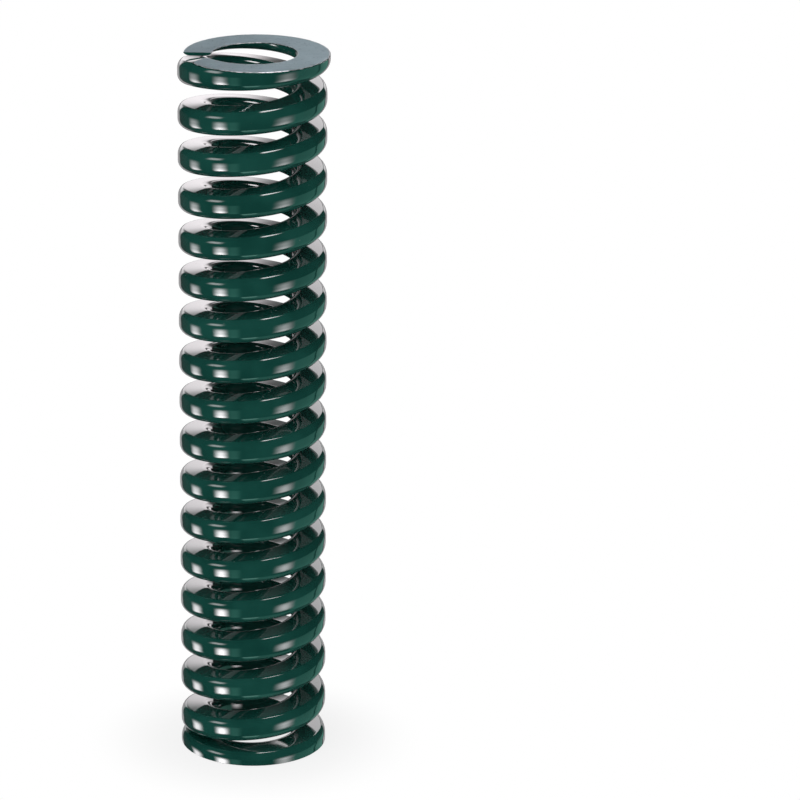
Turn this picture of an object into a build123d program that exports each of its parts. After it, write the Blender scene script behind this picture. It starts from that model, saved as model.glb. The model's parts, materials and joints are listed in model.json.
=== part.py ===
"""Die spring: rectangular wire in right-hand coils, both ends closed and ground flat.

The wire is swept in short pieces along a rising law: it lies nearly flat at each tip, closes on
its neighbour after one turn and climbs at a steady pitch in between. Each piece is trimmed to
the outside diameter, the bore and the two ground faces, then the pieces are joined end to end.
"""
import os
from math import ceil

from build123d import *
from build123d.topology import SkipClean

os.makedirs("parts", exist_ok=True)

# ---- driving dimensions, mm and degrees ----
outer_diameter = 25.4        # over the coils, the 25 mm size
bore_diameter = 13.4         # slides over a 12.5 mm guide rod
free_length = 125.0          # from ground face to ground face
coil_turns = 18.02           # from tip to tip
top_tip_angle = 176.0        # where the upper tip lies, counted from +X

wire_height = 4.22           # wire size along the axis
outer_top_bevel = 0.78       # the wire's eased corners; this one falls more steeply
outer_top_fall = 1.10
outer_bottom_bevel = 1.00
bore_top_bevel = 1.05
bore_bottom_bevel = 1.05

bottom_lay_turns = 0.53      # nearly flat length of wire at each end, turns
top_lay_turns = 0.80
bottom_tip_thickness = 2.10  # what grinding leaves of the wire at each tip
top_tip_thickness = 0.58
tip_gap = 0.30               # between a tip and the coil that it closes on
first_coil_extra = 0.25      # the first open coil at each end stands this much wider

trim_allowance = 0.30        # wire left on each wall for the trimming cut
piece_turns = 0.5            # the longest wire that is swept at once, turns

# ---- sizes that follow ----
outer_radius = outer_diameter / 2
bore_radius = bore_diameter / 2
mean_radius = (outer_radius + bore_radius) / 2
half_height = wire_height / 2
trim_outer = outer_radius + trim_allowance
trim_inner = bore_radius - trim_allowance
trimmed_fall = outer_top_fall * (1 + trim_allowance / outer_top_bevel)

# ---- the rising law, as (turns, pitch) of each lap from the lower tip up ----
closed_rise = wire_height + tip_gap
lowest_centre = bottom_tip_thickness - half_height
highest_centre = free_length - top_tip_thickness + half_height
open_turns = coil_turns - 2
open_rise = highest_centre - lowest_centre - 2 * closed_rise
pitch = (open_rise - 2 * first_coil_extra) / open_turns


def closing_laps(lay_turns):
    """The laps of one closed end, tip first: together they are one turn and one wire high."""
    climb = 1 - lay_turns
    return [(lay_turns, (closed_rise - climb * pitch) / lay_turns), (climb, pitch)]


first_lap = (1, pitch + first_coil_extra)
laps = closing_laps(bottom_lay_turns) + [first_lap]
laps += [(open_turns - 2, pitch)]
laps += [first_lap] + closing_laps(top_lay_turns)[::-1]


def wire_piece(turn, height, turns, rise):
    """A length of wire that starts at this turn and height, trimmed to the spring's walls."""
    outward = Vector(1, 0, 0).rotate(Axis.Z, 360 * turn)
    radial = Plane((0, 0, height), x_dir=outward, z_dir=outward.cross(Vector(0, 0, 1)))
    with BuildPart() as piece:
        with BuildLine() as centre_line:
            helix = Helix(rise / turns, rise, mean_radius, mode=Mode.PRIVATE)
            add(helix.rotate(Axis.Z, 360 * turn).translate((0, 0, height)))
        with BuildSketch(radial):
            with BuildLine():
                Polyline(
                    (outer_radius - outer_top_bevel, half_height),
                    (trim_outer, half_height - trimmed_fall),
                    (trim_outer, outer_bottom_bevel + trim_allowance - half_height),
                    (outer_radius - outer_bottom_bevel, -half_height),
                    (bore_radius + bore_bottom_bevel, -half_height),
                    (trim_inner, bore_bottom_bevel + trim_allowance - half_height),
                    (trim_inner, half_height - bore_top_bevel - trim_allowance),
                    (bore_radius + bore_top_bevel, half_height),
                    close=True,
                )
            make_face()
        sweep(path=centre_line.line, is_frenet=True)
        with BuildSketch():
            Circle(outer_radius)
            Circle(bore_radius, mode=Mode.SUBTRACT)
        extrude(amount=free_length, mode=Mode.INTERSECT, clean=False)
    return piece.part


# ---- the spring ----
pieces = []
turn = top_tip_angle / 360 - coil_turns
height = lowest_centre
for lap_turns, lap_pitch in laps:
    count = ceil(lap_turns / piece_turns)
    turns = lap_turns / count
    for k in range(count):
        pieces.append(wire_piece(turn, height, turns, turns * lap_pitch))
        turn += turns
        height += turns * lap_pitch

with SkipClean():            # the bore and the outside keep one short wall face for each piece
    with BuildPart() as spring:
        add(pieces)

spring.part.label = "spring"
export_step(spring.part, "parts/spring.step")
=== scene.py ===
# %% [markdown]
# # A die spring in dark green enamel
# A die spring is wound from heavy rectangular wire. Both ends are closed on their neighbour and
# ground flat, so that the spring stands square in its pocket. Then the whole coil is enamelled in
# the colour of its load class. This lesson winds one, grinds it, paints it and lights it.
# The imported part comes first: its outside diameter, free length and bore are measured on it or read in
# its record.

# %% Load the imported part
import json
import math

import bpy
import numpy as np
from mathutils import Matrix, Vector


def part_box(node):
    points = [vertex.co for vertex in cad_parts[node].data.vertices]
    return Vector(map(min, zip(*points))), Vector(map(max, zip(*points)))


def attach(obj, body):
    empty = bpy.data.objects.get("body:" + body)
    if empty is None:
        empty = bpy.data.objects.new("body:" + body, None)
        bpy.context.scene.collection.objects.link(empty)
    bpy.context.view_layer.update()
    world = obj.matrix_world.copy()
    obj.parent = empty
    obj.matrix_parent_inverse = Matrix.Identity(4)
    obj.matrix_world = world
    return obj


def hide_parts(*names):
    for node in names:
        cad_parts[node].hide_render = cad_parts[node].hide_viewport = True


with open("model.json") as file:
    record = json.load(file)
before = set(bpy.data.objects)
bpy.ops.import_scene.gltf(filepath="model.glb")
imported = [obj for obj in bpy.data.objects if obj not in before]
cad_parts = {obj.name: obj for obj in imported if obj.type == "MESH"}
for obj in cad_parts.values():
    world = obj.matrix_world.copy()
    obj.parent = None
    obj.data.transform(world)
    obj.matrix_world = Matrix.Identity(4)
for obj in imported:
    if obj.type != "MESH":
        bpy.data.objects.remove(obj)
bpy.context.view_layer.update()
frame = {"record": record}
low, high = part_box("spring")
print("packed spring, mm:", [round((b - a) * 1000, 2) for a, b in zip(low, high)])

# %% [markdown]
# ## The sizes of the wire
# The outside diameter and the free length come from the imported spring. Its guide rod mount gives
# the circle that the bore keeps free, and the wire stands a little outside it. The wire was drawn
# with generous rounded corners. They matter more than they seem to: each one is a long curved
# mirror that carries the light round the coil. On the outside the upper flank is set lower than
# the round would end, so it cuts the round short and leaves a crease. Coiling squeezes the inside of
# the wire and stretches its outside, so the upper flank falls a few degrees towards the crease.
# Lengths are in millimetres here, because that is how a spring maker thinks, and turn into metres
# only when the mesh is made.

# %% Sizes of the wire, in millimetres
MM = 0.001
mounts = {mount["name"]: mount for mount in frame["record"]["mounts"]}
outer_radius = (high.x - low.x) / 2 / MM
bore_clearance = 0.35
bore_radius = mounts["guide_rod_bore"]["dims"]["r_mm"] + bore_clearance
free_length = (high.z - low.z) / MM
wire_height = 4.225
half_height = wire_height / 2
outer_wall = (1.60, 1.98, 4.65)   # lower round, upper round, and the height that the two span
crease_inset = 0.75               # from the outer wall to the crease
flank_fall = math.tan(math.radians(4.5))
bore_lower_round, bore_upper_round = 1.50, 1.45


def flank_height(radius):
    """Height of the upper flank above the wire's middle: half the wire at the crease, and more by
    the tangent of its tilt times the way from there towards the bore."""
    return half_height + flank_fall * (outer_radius - crease_inset - radius)


bore_corner = bore_radius + bore_upper_round      # where the flank and the round meet
round_top = flank_height(bore_corner)
bore_wall = (bore_lower_round, bore_upper_round, half_height + round_top)
print("radii", outer_radius, bore_radius, "length", free_length)

# %% [markdown]
# ## How the wire climbs
# A coiling machine sets the pitch with a moving wedge, so the wire doesn't change its slope with a
# kink: it lies nearly flat at a tip, swings up after about three quarters of a turn, closes on the
# coil before it, and then climbs evenly. A few heights tell that story: they were fitted to the
# coils and then adjusted. A monotone cubic curve joins them. A plain cubic spline would
# overshoot between the flat end and the steep first coil, and the coils would cut into each other.

# %% The rising law
turns = 18.019
tip_angle = math.radians(176)   # the upper tip lies nearly at -X
# turns from the upper tip, and how far the middle of the wire lies below the upper ground face
upper_end = [(0, -1.54), (0.39, -0.06), (0.74, 1.31), (0.91, 2.20), (0.99, 2.98), (1.49, 7.33),
             (1.99, 10.64), (2.99, 17.99)]
# turns from the lower tip, and how high the middle of the wire lies above the lower ground face
lower_end = [(0, 0.01), (0.28, 0.21), (0.53, 0.79), (1.03, 4.76), (1.28, 6.52), (2.03, 12.25),
             (3.03, 19.59)]


def monotone_curve(knots, x):
    """Monotone cubic through the knots: between two knots it is the Hermite cubic of their values
    and slopes, and a knot's slope is the weighted harmonic mean of the two chords beside it, which
    is small when either chord is flat, so the curve never turns back."""
    px, py = np.array(knots, float).T
    step, chord = np.diff(px), np.diff(py) / np.diff(px)
    w1, w2 = 2 * step[1:] + step[:-1], step[1:] + 2 * step[:-1]
    inner = (w1 + w2) / (w1 / chord[:-1] + w2 / chord[1:])
    slope = np.concatenate([chord[:1], inner, chord[-1:]])
    i = np.clip(np.searchsorted(px, x, side="right") - 1, 0, len(px) - 2)
    s = (x - px[i]) / step[i]
    return ((2 * s**3 - 3 * s**2 + 1) * py[i] + (s**3 - 2 * s**2 + s) * step[i] * slope[i]
            + (3 * s**2 - 2 * s**3) * py[i + 1] + (s**3 - s**2) * step[i] * slope[i + 1])


def depth_of(turn):
    """Depth of the wire's middle below the upper ground face, this many turns from the upper tip."""
    knots = upper_end + [(turns - v, free_length - z) for v, z in lower_end[::-1]]
    return monotone_curve(knots, turn)


closing = depth_of(np.linspace(1, turns, 4000)) - depth_of(np.linspace(0, turns - 1, 4000))
print("least rise in a turn %.2f mm for a wire of %.2f mm" % (closing.min(), wire_height))

# %% [markdown]
# ## Where the wire is cut across
# The wire becomes a row of cross sections, a hundred to the turn. The turns at which grinding
# starts to touch the inner corner, the crease and the lower flank get a section of their own, so
# that the edge of the ground face is a clean line and not a staircase.

# %% The stations along the wire
sections_per_turn = 104
even = np.linspace(0, turns, int(turns * sections_per_turn) + 1)
fine = np.linspace(0, turns, 200001)
fine_depth = depth_of(fine)
full_touch, first_touch = np.interp([half_height, round_top], fine_depth, fine)
last_touch = np.interp(free_length - half_height, fine_depth, fine)
station = np.unique(np.concatenate([even, [first_touch, full_touch, last_touch]]))
middle = free_length - depth_of(station)        # height of the wire's middle
angle = tip_angle - 2 * math.pi * station
mean_radius = (outer_radius + bore_radius) / 2
print(len(station), "sections; ground over %.2f and %.2f turns" % (first_touch, turns - last_touch))

# %% [markdown]
# ## The outline of one wall
# One wall of the section, outer or inner, is a lower round, a short straight stretch and an upper
# round. A parameter from 0 to 1 runs up it. The inverse, from a height to the parameter, is what
# the upper flank and the grinding wheel need: it says where on the outline they cut it short.

# %% One wall as a function of a parameter
lower_share, upper_share = 0.40, 0.56   # the parameter where the lower round ends and the upper starts


def wall_point(t, wall):
    """(distance inside the wall, height from the wire's middle) at parameter t. On the lower round
    they are r - r sin a and r - r cos a above the lower flank, with a from 0 to 90 degrees; on the
    upper round r - r cos a, and r sin a above the round's centre; between them the wall is straight."""
    below, above, span = wall
    a = np.clip(t / lower_share, 0, 1) * math.pi / 2
    b = np.clip((t - upper_share) / (1 - upper_share), 0, 1) * math.pi / 2
    straight = np.clip((t - lower_share) / (upper_share - lower_share), 0, 1)
    inset = below * (1 - np.sin(a)) + above * (1 - np.cos(b))
    height = (-half_height + below * (1 - np.cos(a)) + straight * (span - below - above)
              + above * np.sin(b))
    return inset, height


def wall_parameter(height, wall):
    """The parameter at which the wall has this height: the arc cosine on the lower round, the arc
    sine on the upper one, and a straight line between."""
    below, above, span = wall
    up = height + half_height
    down = span - up
    a = np.arccos(np.clip(1 - up / below, 0, 1)) / (math.pi / 2) * lower_share
    b = upper_share + np.arcsin(np.clip(1 - down / above, 0, 1)) / (math.pi / 2) * (1 - upper_share)
    run = (up - below) / (span - below - above)
    c = lower_share + run * (upper_share - lower_share)
    return np.where(up < below, a, np.where(down < above, b, c))


check = np.linspace(0, 1, 50)
error = wall_parameter(wall_point(check, outer_wall)[1], outer_wall) - check
print("largest error of the inverse", float(np.abs(error).max()))

# %% [markdown]
# ## Grinding
# A surface grinder takes each end down to a plane. In the section that plane is a height, and
# everything past it is gone: the walls run only as far as the plane, and the strip between them is
# the ground face. Nothing is cut with a boolean. The points of each wall are shared out again over
# what is left of it, so that the mesh stays even and no sliver is made. A tiny bevel runs along
# the crease, and on along the edge of the ground face, where the enamel broke away and left metal.

# %% The grid of sections
edge_bevel = 0.09               # along the crease and along a ground edge
edge_band = 0.08                # the narrow band inside it, which keeps the flank's shading flat
rub_band = 0.35                 # where a ground face is rubbed by handling
outer_points, bore_points = 17, 13
strip_points = 7


def even_with_ends(points, lead=0.015):
    """Shares from 0 to 1: even steps, with a short one at either end to keep the creases crisp."""
    return np.concatenate([[0], np.linspace(lead, 1 - lead, points - 2), [1]])


def loop_sections():
    """Radius and height from the wire's middle, for every station and every point of its outline:
    up the outer wall, across the upper face, down the bore wall and back across the lower face."""
    plane = free_length - middle[:, None]
    top = np.minimum(half_height, plane)
    bore_top = np.minimum(round_top, plane)
    bottom = np.maximum(-half_height, -middle)[:, None]
    top_bevel = np.minimum(edge_bevel, (top - bottom) / 4)
    bore_bevel = np.clip((round_top - bore_top) / 2, 0, top_bevel)
    bottom_bevel = np.clip((bottom + half_height) / 2, 0, top_bevel)

    def side(wall, points, end, upper_bevel):
        lo = wall_parameter(bottom + bottom_bevel, wall)
        hi = wall_parameter(end - upper_bevel, wall)
        t = lo + (hi - lo) * even_with_ends(points)[None, :]
        return wall_point(t, wall)

    def ends(outer_level, outer_bevel, bore_level, bore_bevel):
        outer = wall_point(wall_parameter(outer_level, outer_wall), outer_wall)[0]
        bore = wall_point(wall_parameter(bore_level, bore_wall), bore_wall)[0]
        return outer_radius - outer - outer_bevel - 0.02, bore_radius + bore + bore_bevel + 0.02

    def strip(outer, bore, fold):
        fold = np.clip(fold, bore + rub_band + 0.05, outer - rub_band - 0.05)
        return np.hstack([outer, outer - edge_band, outer - rub_band, fold,
                          bore + rub_band, bore + edge_band, bore])

    out_inset, out_height = side(outer_wall, outer_points, top, top_bevel)
    in_inset, in_height = side(bore_wall, bore_points, bore_top, bore_bevel)
    fold = outer_radius - crease_inset - (plane - half_height) / flank_fall
    up_radius = strip(*ends(top, top_bevel, bore_top, bore_bevel), fold)
    up_height = np.minimum(np.minimum(flank_height(up_radius), round_top), plane)
    down_radius = strip(*ends(bottom, bottom_bevel, bottom, bottom_bevel), 0 * fold + mean_radius)
    down_height = bottom + 0 * down_radius
    radius = np.hstack([outer_radius - out_inset, up_radius,
                        (bore_radius + in_inset)[:, ::-1], down_radius[:, ::-1]])
    height = np.hstack([out_height, up_height, in_height[:, ::-1], down_height[:, ::-1]])
    return radius, height


radius, height = loop_sections()
loop = radius.shape[1]
print("grid", radius.shape, "radius", radius.min().round(2), "to", radius.max().round(2))

# %% [markdown]
# ## From sections to a closed skin
# Each section stands in its own radial plane, so a point is at (r cos a, r sin a, middle + height).
# The last coil of a real spring is never quite true: it stands a little aside here, and its ground
# face leans by almost a degree. Both die away within the first turn.
# Neighbouring sections are joined by quads, and the two tips are closed by one flat face each.
# The order of the corners makes every face look outwards. The sum of the faces' small volumes
# tells whether it does: it has to come out positive.

# %% The spring's mesh
aside, lean = 0.55, 0.015       # of the upper coil: millimetres to the right, and rise per millimetre


def coil_points():
    """Every point of the grid in metres: the section's radius turned to its angle, and its height
    on top of the height of the wire's middle. The upper coil is shifted by aside and sheared by
    lean times y, both with a weight 3 s^2 - 2 s^3 that falls from 1 to 0 in the first turn."""
    s = np.clip((1.0 - station) / 0.55, 0, 1)[:, None]
    weight = 3 * s**2 - 2 * s**3
    x = radius * np.cos(angle)[:, None] + aside * weight
    y = radius * np.sin(angle)[:, None]
    z = middle[:, None] + height + lean * weight * y
    return np.stack([x, y, z], axis=-1).reshape(-1, 3) * MM


def skin_quads():
    """Four corners for each cell of the grid, which closes on itself round the wire."""
    i = np.arange(len(station) - 1)[:, None]
    j = np.arange(loop)[None, :]
    after = (j + 1) % loop
    quads = [i * loop + j, (i + 1) * loop + j, (i + 1) * loop + after, i * loop + after]
    return np.stack([q + 0 * i + 0 * j for q in quads], axis=-1).reshape(-1, 4)


points = coil_points()
quads = skin_quads()
tip_faces = [np.arange(loop), np.arange(loop)[::-1] + (len(station) - 1) * loop]
a, b, c, d = (points[quads[:, k]] for k in range(4))
volume = (np.einsum("ij,ij->i", a, np.cross(b, c)) + np.einsum("ij,ij->i", a, np.cross(c, d))).sum() / 6
if volume < 0:
    quads = quads[:, ::-1]
    tip_faces = [face[::-1] for face in tip_faces]
print("faces", len(quads), "volume %.0f mm3" % (abs(volume) / MM**3))

spring_mesh = bpy.data.meshes.new("die_spring")
spring_mesh.from_pydata(points.tolist(), [], quads.tolist() + [face.tolist() for face in tip_faces])
spring_mesh.update()
spring = bpy.data.objects.new("die_spring", spring_mesh)
bpy.context.scene.collection.objects.link(spring)
print("mesh valid:", not spring_mesh.validate())

# %% [markdown]
# ## Which face is what
# The grid knows where every face lies, so no face has to be picked by hand. The strips of the
# sections that the wheel reached are ground steel, the narrow rows beside them are the bare edge,
# and everything else is enamel. An edge between two kinds of face is marked sharp: a ground edge
# and a cut tip are crisp, and the rest of the wire is shaded smooth.

# %% Kinds of face and sharp edges
ENAMEL, GROUND, BARE_EDGE, TIP = 0, 1, 2, 3


def face_kinds():
    """The kind of each quad, from its row along the wire and its column round it."""
    kind = np.full((len(station) - 1, loop), ENAMEL)
    up_start = outer_points
    down_start = outer_points + strip_points + bore_points
    near_bore = np.arange(strip_points // 2, strip_points - 1)
    whole = np.arange(strip_points - 1)
    inside_ground = station[1:] <= first_touch + 1e-9
    upper_ground = station[1:] <= full_touch + 1e-9
    lower_ground = station[:-1] >= last_touch - 1e-9
    for start, columns, reached in ((up_start, near_bore, inside_ground), (up_start, whole, upper_ground),
                                    (down_start, whole, lower_ground)):
        kind[np.ix_(reached, start + columns)] = GROUND
        kind[np.ix_(reached, [start + strip_points - 1])] = BARE_EDGE
        if len(columns) == len(whole):
            kind[np.ix_(reached, [start - 1])] = BARE_EDGE
    return np.concatenate([kind.ravel(), [TIP, TIP]])


def mark_sharp(mesh, kind):
    """An edge is sharp where the kinds of its two faces differ: the largest and the smallest kind
    met at each edge are gathered over all face corners and compared."""
    corners = np.empty(len(mesh.loops), np.int32)
    mesh.loops.foreach_get("edge_index", corners)
    sizes = np.empty(len(mesh.polygons), np.int32)
    mesh.polygons.foreach_get("loop_total", sizes)
    owner = np.repeat(kind, sizes)
    top = np.zeros(len(mesh.edges), int)
    bottom = np.full(len(mesh.edges), 9)
    np.maximum.at(top, corners, owner)
    np.minimum.at(bottom, corners, owner)
    sharp = top != bottom
    mesh.edges.foreach_set("use_edge_sharp", sharp)
    return int(sharp.sum())


kind = face_kinds()
spring_mesh.polygons.foreach_set("use_smooth", np.ones(len(kind), bool))
print("sharp edges", mark_sharp(spring_mesh, kind))
spring_mesh.polygons.foreach_set("material_index", np.where(kind == TIP, ENAMEL, kind).astype(np.int32))

# %% [markdown]
# ## Coordinates that follow the wire
# Marks left by drawing and coiling run along the wire, so the enamel needs to know where along is.
# Each point stores its radius, its height in the section and the length of wire up to it. These
# three run on smoothly round every corner, where an unrolled map would have a seam. A second
# number tells how far across a ground face a point lies, for the marks near its edges.

# %% Attributes for the finishes
run = station * 2 * math.pi * mean_radius
wire_place = np.stack([radius, height, run[:, None] + 0 * radius], axis=-1).reshape(-1, 3) * MM
place = spring_mesh.attributes.new("wire_place", "FLOAT_VECTOR", "POINT")
place.data.foreach_set("vector", wire_place.astype(np.float32).ravel())

strip_edge = [0, edge_band, rub_band, 1, rub_band, edge_band, 0]
from_edge = np.concatenate([np.zeros(outer_points), strip_edge, np.zeros(bore_points), strip_edge])
from_edge = from_edge[None, :] + 0 * radius
edge_way = spring_mesh.attributes.new("from_edge_mm", "FLOAT", "POINT")
edge_way.data.foreach_set("value", from_edge.astype(np.float32).ravel())
print("edge distances, mm:", np.unique(from_edge))

# %% [markdown]
# ## Writing a finish as a sum
# Blender's shaders are graphs, but a finish is easier to read as a formula. The small class below
# wraps one output of a node and gives it the arithmetic operators: each of them adds a Math node.
# A recipe owns the node tree and adds every other kind of node by one method.

# %% A wrapper for shader nodes
class Signal:
    """One output of a node. +, -, *, > and < add the Math nodes that work them out."""

    def __init__(self, recipe, socket):
        self.recipe, self.socket = recipe, socket

    def _math(self, operation, first, second):
        return self.recipe.node("ShaderNodeMath", {"operation": operation}, {0: first, 1: second})

    def __add__(self, other):
        return self._math("ADD", self, other)

    def __radd__(self, other):
        return self._math("ADD", other, self)

    def __sub__(self, other):
        return self._math("SUBTRACT", self, other)

    def __rsub__(self, other):
        return self._math("SUBTRACT", other, self)

    def __mul__(self, other):
        return self._math("MULTIPLY", self, other)

    def __rmul__(self, other):
        return self._math("MULTIPLY", other, self)

    def __gt__(self, other):
        return self._math("GREATER_THAN", self, other)

    def __lt__(self, other):
        return self._math("LESS_THAN", self, other)


class Recipe:
    """The node tree of one material or of the world."""

    def __init__(self, tree):
        self.tree = tree
        tree.nodes.clear()

    def node(self, kind, settings=None, sockets=None, output=0):
        """Adds a node, first its settings and then its sockets, and returns one of its outputs."""
        node = self.tree.nodes.new(kind)
        for name, value in (settings or {}).items():
            setattr(node, name, value)
        for name, value in (sockets or {}).items():
            if isinstance(value, Signal):
                self.tree.links.new(value.socket, node.inputs[name])
            else:
                node.inputs[name].default_value = value
        return Signal(self, node.outputs[output]) if len(node.outputs) else None

    def noise(self, vector, scale, detail=2.0, roughness=0.5):
        return self.node("ShaderNodeTexNoise", None, {"Vector": vector, "Scale": scale,
                                                      "Detail": detail, "Roughness": roughness})

    def stretch(self, vector, scale, turn=0.0):
        return self.node("ShaderNodeMapping", None, {"Vector": vector, "Scale": scale,
                                                     "Rotation": (0, 0, turn)})

    def smooth(self, value, start, end):
        """0 before start and 1 after end, on a smooth step; start may be the larger."""
        return self.node("ShaderNodeMapRange", {"interpolation_type": "SMOOTHSTEP"},
                         {"Value": value, "From Min": start, "From Max": end})

    def blend(self, share, first, second):
        return self.node("ShaderNodeMix", {"data_type": "RGBA"}, {0: share, 6: first, 7: second}, 2)

    def degrees(self, first, second):
        """The angle, in degrees, whose tangent is first over second."""
        angle = self.node("ShaderNodeMath", {"operation": "ARCTAN2"}, {0: first, 1: second})
        return math.degrees(1) * angle

    def bump(self, height, depth, strength=1.0):
        return self.node("ShaderNodeBump", None, {"Height": height, "Distance": depth,
                                                  "Strength": strength})

    def finish(self, shader):
        self.node("ShaderNodeOutputMaterial", None, {"Surface": shader})


def new_material(name):
    material = bpy.data.materials.new(name)
    material.use_nodes = True
    return material, Recipe(material.node_tree)


print("operators ready:", [name for name in dir(Signal) if name.startswith("__r")])

# %% [markdown]
# ## Dark green enamel
# Die springs are sprayed or dipped and baked. The enamel is a full gloss: nearly black green in
# itself, and as bright as the lamps where it mirrors them. Up close it isn't perfect. It has the
# faint waviness called orange peel, soft lines along the wire that show through from drawing and
# coiling, and a scatter of dust specks caught in the paint. A single principled shader gives the
# gloss, and the unevenness goes into its colour, its roughness and a very shallow bump.

# %% The enamel
def make_enamel():
    material, r = new_material("green_enamel")
    here = r.node("ShaderNodeTexCoord", output="Object")
    wire = r.node("ShaderNodeAttribute", {"attribute_name": "wire_place"}, output="Vector")
    cloud = r.noise(here, 120, 3)
    peel = r.noise(here, 1100, 1)
    lines = r.noise(r.stretch(wire, (2600, 2600, 45)), 1, 2)
    cell = {"Vector": here, "Scale": 620}
    distance = r.node("ShaderNodeTexVoronoi", None, cell)
    lot = r.node("ShaderNodeSeparateColor", None, {0: r.node("ShaderNodeTexVoronoi", None, cell, "Color")})
    speck = r.smooth(distance, 0.09, 0.04) * (lot > 0.86)
    deep, light = (0.0060, 0.056, 0.044, 1), (0.0105, 0.080, 0.063, 1)
    paint = r.blend(r.smooth(cloud, 0.3, 0.7), deep, light)
    colour = r.blend(speck * 0.35, paint, (0.18, 0.24, 0.22, 1))
    roughness = 0.035 + 0.03 * r.smooth(cloud, 0.35, 0.75) + 0.25 * speck
    relief = 0.6 * peel + 0.5 * lines + 1.2 * speck
    shader = r.node("ShaderNodeBsdfPrincipled", None, {
        "Base Color": colour, "Roughness": roughness, "IOR": 1.6,
        "Coat Weight": 1.0, "Coat Roughness": 0.03, "Coat IOR": 1.5,
        "Normal": r.bump(relief, 0.000006)})
    r.finish(shader)
    return material


enamel = make_enamel()
print(enamel.name, len(enamel.node_tree.nodes), "nodes")

# %% [markdown]
# ## Ground steel
# The end faces are bare spring steel, straight off the grinding wheel: a satin grey with a blue
# cast, crossed by fine parallel scratches, with darker freckles of oil. The scratches are a noise
# that is stretched a hundredfold along one direction. They change the roughness and the bump more
# than the colour, because a scratch is a shape and not a stain. The bare bevel beside the enamel
# is the same steel, but polished by wear, so it catches the light as a thin bright line.

# %% The steel
def make_ground_steel():
    material, r = new_material("ground_steel")
    here = r.node("ShaderNodeTexCoord", output="Object")
    edge = r.node("ShaderNodeAttribute", {"attribute_name": "from_edge_mm"}, output="Fac")
    scratch = r.noise(r.stretch(here, (90, 5200, 90), 0.35), 1, 3, 0.6)
    cross = r.noise(r.stretch(here, (2600, 120, 120), 0.9), 1, 2)
    cloud = r.noise(here, 260, 3)
    freckle = r.smooth(r.noise(here, 2300, 2), 0.62, 0.72)
    tone = r.smooth(0.6 * scratch + 0.4 * cloud, 0.35, 0.65)
    steel = r.blend(tone, (0.228, 0.325, 0.360, 1), (0.297, 0.415, 0.455, 1))
    steel = r.blend(freckle * 0.5, steel, (0.09, 0.11, 0.12, 1))
    rubbed = r.smooth(edge, 0.28, 0.02) * r.smooth(cross, 0.35, 0.6)
    colour = r.blend(rubbed * 0.8, steel, (0.62, 0.64, 0.65, 1))
    roughness = 0.34 + 0.16 * scratch + 0.10 * freckle
    shader = r.node("ShaderNodeBsdfPrincipled", None, {
        "Base Color": colour, "Metallic": 1.0, "Roughness": roughness,
        "Normal": r.bump(0.7 * scratch + 0.3 * cross, 0.000012)})
    r.finish(shader)
    return material


def make_bare_edge():
    material, r = new_material("bare_edge")
    here = r.node("ShaderNodeTexCoord", output="Object")
    nick = r.smooth(r.noise(here, 900, 3), 0.42, 0.60)
    colour = r.blend(nick, (0.10, 0.13, 0.13, 1), (0.66, 0.68, 0.69, 1))
    shader = r.node("ShaderNodeBsdfPrincipled", None, {
        "Base Color": colour, "Metallic": 1.0, "Roughness": 0.28 + 0.14 * nick,
        "Normal": r.bump(nick, 0.00001)})
    r.finish(shader)
    return material


for finish in (enamel, make_ground_steel(), make_bare_edge()):
    spring_mesh.materials.append(finish)
print("finishes:", [m.name for m in spring_mesh.materials])

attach(spring, "root")
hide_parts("spring")

# %% [markdown]
# ## The stand
# The spring stands on a small round white stand in front of a white sweep. The camera sees both as
# plain white, while the gloss is shut off from them by a tent that comes further down. Near its
# middle the stand still takes some light as a matt surface, which keeps the soft shadow under the
# spring, and that share fades out to the rim.

# %% The stand and the world
def make_disc(name, disc_radius, level, rings=12, sides=96):
    """A flat disc: a centre point, and rings of points at equal steps of radius and angle."""
    turn = np.arange(sides) * 2 * math.pi / sides
    steps = np.arange(1, rings + 1)[:, None] * disc_radius / rings
    ring = np.stack([steps * np.cos(turn), steps * np.sin(turn), level + 0 * steps * turn], -1)
    verts = np.vstack([[[0, 0, level]], ring.reshape(-1, 3)])
    j = np.arange(sides)
    fan = np.stack([0 * j, 1 + j, 1 + (j + 1) % sides], -1)
    inner = 1 + np.arange(rings - 1)[:, None] * sides
    cells = np.stack([inner + j, inner + sides + j, inner + sides + (j + 1) % sides,
                      inner + (j + 1) % sides], -1).reshape(-1, 4)
    mesh = bpy.data.meshes.new(name)
    mesh.from_pydata(verts.tolist(), [], fan.tolist() + cells.tolist())
    disc = bpy.data.objects.new(name, mesh)
    bpy.context.scene.collection.objects.link(disc)
    return disc


def seen_directly(r):
    """1 for the rays that look at the background: from the camera, a gloss or a clear body."""
    path = r.node("ShaderNodeLightPath", output="Is Camera Ray")
    gloss = Signal(r, path.socket.node.outputs["Is Glossy Ray"])
    clear = Signal(r, path.socket.node.outputs["Is Transmission Ray"])
    return path + gloss + clear > 0.5


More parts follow.
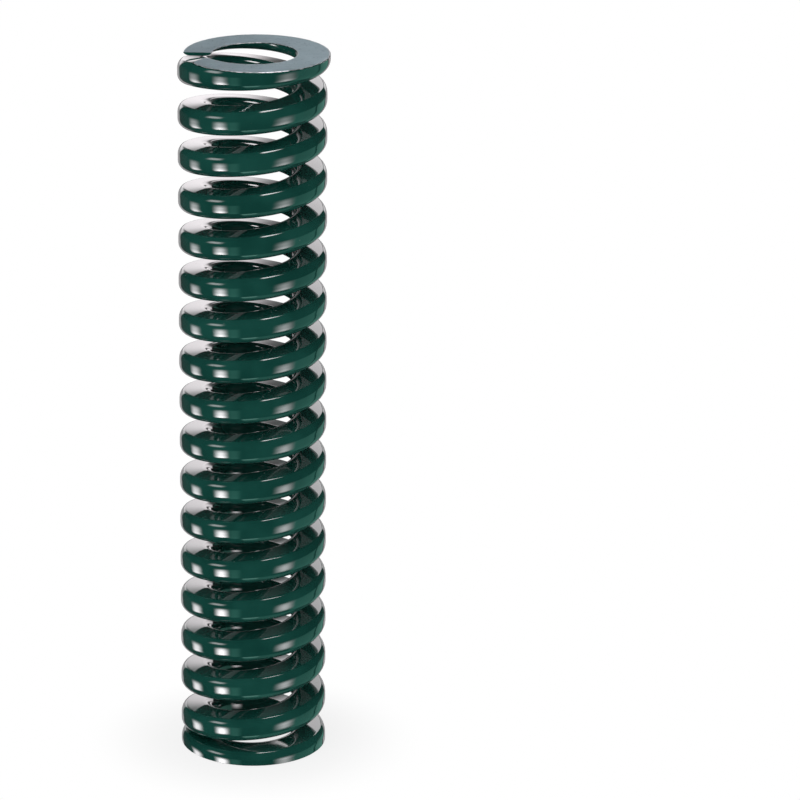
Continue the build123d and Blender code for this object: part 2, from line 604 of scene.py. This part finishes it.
stand_radius = 0.034
stand = make_disc("white_stand", stand_radius, -0.00005)
material, r = new_material("white_card")
here = r.node("ShaderNodeTexCoord", output="Object")
reach = r.node("ShaderNodeVectorMath", {"operation": "LENGTH"}, {0: here}, "Value")
matt_share = 0.2 * r.smooth(reach, stand_radius * 0.9, 0.014)
grain = r.noise(here, 900, 2)
paper = r.blend(grain, (0.93, 0.93, 0.93, 1), (0.97, 0.97, 0.97, 1))
card = r.node("ShaderNodeBsdfDiffuse", None, {"Color": paper})
glow = r.node("ShaderNodeEmission", None, {"Color": (1, 1, 1, 1), "Strength": 1.0})
white = r.node("ShaderNodeMixShader", None, {0: matt_share, 1: glow, 2: card})
r.finish(r.node("ShaderNodeMixShader", None, {0: seen_directly(r), 1: card, 2: white}))
stand.data.materials.append(material)
stand.visible_glossy = False        # the lowest coils mirror the tent, like all the others

world = bpy.data.worlds.new("white_sweep")
bpy.context.scene.world = world
world.use_nodes = True
r = Recipe(world.node_tree)
room_light = 0.62
strength = room_light + (1 - room_light) * seen_directly(r)
sky = r.node("ShaderNodeBackground", None, {"Color": (1, 1, 1, 1), "Strength": strength})
r.node("ShaderNodeOutputWorld", None, {"Surface": sky})
print("stand and world ready")

# %% [markdown]
# ## Light for a glossy coil
# A gloss shows its surroundings, so lighting it means choosing what it sees. Here the gloss looks
# at the inside of a big round tent. The tent is nearly black in front and a dim room at the sides.
# Its back is grey low down and white at the height of the spring, with one more bright field higher
# up on the right. Panels glow in it: the upright ones on either side of the camera draw a bright
# stripe each on every coil, and the ones higher up draw thin lines on the upper shoulders. Some are
# green cards, which stand in for the other springs on the shelf beside this one. Each panel is
# painted by its azimuth and elevation as the product of two smooth windows. Only the gloss sees
# the tent; a broad soft lamp and the white sweep do the plain lighting.

# %% The tent and the lamp
aim = Vector((0, 0, free_length / 2 * MM))


def direction(azimuth, elevation):
    """Unit vector at this azimuth, in degrees to the right of the camera, and this elevation."""
    a, e = math.radians(azimuth), math.radians(elevation)
    return Vector((math.sin(a) * math.cos(e), -math.cos(a) * math.cos(e), math.sin(e)))


def make_tent(name, distance, across=96, up=48):
    """A sphere round the spring, closed where its first and its last azimuth meet."""
    a, e = np.meshgrid(np.arange(across) * 2 * math.pi / across,
                       np.radians(np.linspace(-89.5, 89.5, up)))
    verts = np.stack([np.sin(a) * np.cos(e), -np.cos(a) * np.cos(e), np.sin(e)], -1).reshape(-1, 3)
    i, j = np.meshgrid(np.arange(up - 1), np.arange(across), indexing="ij")
    after = (j + 1) % across
    cells = np.stack([i * across + j, (i + 1) * across + j, (i + 1) * across + after,
                      i * across + after], -1).reshape(-1, 4)
    ends = [list(range(across)), list(range(across * up - 1, across * (up - 1) - 1, -1))]
    mesh = bpy.data.meshes.new(name)
    mesh.from_pydata((verts * distance + np.array(aim)).tolist(), [], cells.tolist() + ends)
    tent = bpy.data.objects.new(name, mesh)
    bpy.context.scene.collection.objects.link(tent)
    tent.visible_camera = tent.visible_diffuse = tent.visible_shadow = False
    return tent


# name: azimuth from, to; elevation from, to; softness across, up; radiance high and low in it
white_panels = {
    "left stripe": (-59, -44, -29, -5, 8, 3, 0.8, 14),
    "far left stripe": (-110, -93, -29, -5, 7, 4, 0.5, 6),
    "right stripe": (40, 61, -27, -8, 11, 6, 1.2, 4.5),
    "left line": (-78, -55, 16, 30, 7, 5, 3.0, 3.0),
    "shoulder line": (9, 64, 63, 79, 8, 3, 8, 8),
    "floor card": (-18, 14, -62, -48, 3, 3, 0.3, 0.3),
    "back top": (146, 177, 56, 82, 2, 4, 12, 12),
}
green_panels = {
    "left glow": (-38, -22, -40, -8, 6, 3, 0.35, 0.5),
    "right wall": (66, 113, -40, -8, 3, 2, 0.3, 0.4),
    "right room": (118, 146, -40, -8, 1, 2, 0.35, 0.35),
    "floor card": (-18, 14, -62, -48, 3, 3, 0.8, 0.8),
    "floor glow": (-18, 95, -80, -46, 5, 4, 0.3, 0.3),
}


def add_up(panels, azimuth, elevation):
    """The sum of all panels: each is its radiance, high or low in it, times its two windows."""
    total = 0.0
    for left, right, low_edge, high_edge, soft, soft_up, high_light, low_light in panels.values():
        window = (r.smooth(azimuth, left - soft, left + soft)
                  * r.smooth(azimuth, right + soft, right - soft)
                  * r.smooth(elevation, low_edge - soft_up, low_edge + soft_up)
                  * r.smooth(elevation, high_edge + soft_up, high_edge - soft_up))
        share = r.smooth(elevation, high_edge, low_edge)
        total = total + (high_light + (low_light - high_light) * share) * window
    return total


material, r = new_material("tent_cloth")
here = r.node("ShaderNodeTexCoord", output="Object")
seen = r.node("ShaderNodeVectorMath", {"operation": "SUBTRACT"}, {0: here, 1: tuple(aim)}, "Vector")
parts = r.node("ShaderNodeSeparateXYZ", None, {0: seen})
x, y, z = (Signal(r, parts.socket.node.outputs[k]) for k in "XYZ")
azimuth = r.degrees(x, -1.0 * y)
level = r.node("ShaderNodeVectorMath", {"operation": "LENGTH"},
               {0: r.node("ShaderNodeVectorMath", {"operation": "MULTIPLY"}, {0: seen, 1: (1, 1, 0)},
                          "Vector")}, "Value")
elevation = r.degrees(z, level)
from_front = r.node("ShaderNodeMath", {"operation": "ABSOLUTE"}, {0: azimuth})
weave = r.noise(here, 25, 2)
room = r.smooth(from_front, 117, 119) * r.smooth(elevation, 6, -2) * 0.03
behind = r.smooth(from_front, 149, 153)
low_grey = r.smooth(elevation, 1, -4) * r.smooth(from_front, 173, 166)
fading = 0.15 + 0.85 * r.smooth(elevation, 15, 5)
level_white = r.smooth(elevation, -4, 2) * fading * r.smooth(elevation, 21, 17)
back = 0.45 * low_grey + 1.2 * level_white
upper_right = (r.smooth(azimuth, 149, 153) * r.smooth(azimuth, 180, 178.5)
               * r.smooth(elevation, 16, 22) * r.smooth(elevation, 37, 34))

white = (0.006 + 0.006 * weave + room + behind * back + 1.8 * upper_right
         + add_up(white_panels, azimuth, elevation))
green = add_up(green_panels, azimuth, elevation)
glow = r.node("ShaderNodeCombineXYZ", None, {"X": white + 0.35 * green, "Y": 0.95 * white + green,
                                             "Z": 0.975 * white + 0.8 * green})
r.finish(r.node("ShaderNodeEmission", None, {"Color": glow, "Strength": 1.0}))
tent_radius = 1.4
tent = make_tent("tent", tent_radius)
tent.data.materials.append(material)

lamp = bpy.data.lights.new("plain_light", "AREA")
lamp_side, lamp_radiance = 0.9, 1.08
lamp.shape, lamp.size, lamp.size_y = "RECTANGLE", lamp_side, lamp_side
lamp.energy = lamp_radiance * lamp_side * lamp_side * math.pi
plain_light = bpy.data.objects.new("plain_light", lamp)
toward = direction(-35, 33)
plain_light.location = aim + toward
plain_light.rotation_euler = toward.to_track_quat("Z", "Y").to_euler()
plain_light.visible_camera = plain_light.visible_glossy = False
bpy.context.scene.collection.objects.link(plain_light)
print("panels:", list(white_panels), list(green_panels))

# %% [markdown]
# ## The camera
# A product camera with a long lens looks down on the spring at a little under twenty degrees. Its
# shift puts the spring one diameter left of the middle of the frame. The long lens keeps the coils
# nearly equal from top to bottom.

# %% The camera
camera_distance = 0.7739
camera_elevation = 18.677
camera_roll = math.radians(0.097)
focal_share = 4469.1 / 800          # focal length over the width of the frame
sensor = 36.0
camera = bpy.data.cameras.new("camera")
camera.sensor_width = sensor
camera.lens = focal_share * sensor
camera.shift_x = 0.18384
camera.shift_y = 0.0055
camera.clip_start, camera.clip_end = 0.01, 20
camera_object = bpy.data.objects.new("camera", camera)
bpy.context.scene.collection.objects.link(camera_object)
place = aim + direction(0, camera_elevation) * camera_distance
forward = (aim - place).normalized()
right = Vector((1, 0, 0))
upward = right.cross(forward)
rolled_right = right * math.cos(camera_roll) - upward * math.sin(camera_roll)
rolled_up = right * math.sin(camera_roll) + upward * math.cos(camera_roll)
camera_object.matrix_world = Matrix((
    (rolled_right.x, rolled_up.x, -forward.x, place.x),
    (rolled_right.y, rolled_up.y, -forward.y, place.y),
    (rolled_right.z, rolled_up.z, -forward.z, place.z), (0, 0, 0, 1)))
bpy.context.scene.camera = camera_object
bpy.context.scene.view_settings.view_transform = "Standard"
print("lens %.1f mm" % camera.lens)

# %% [markdown]
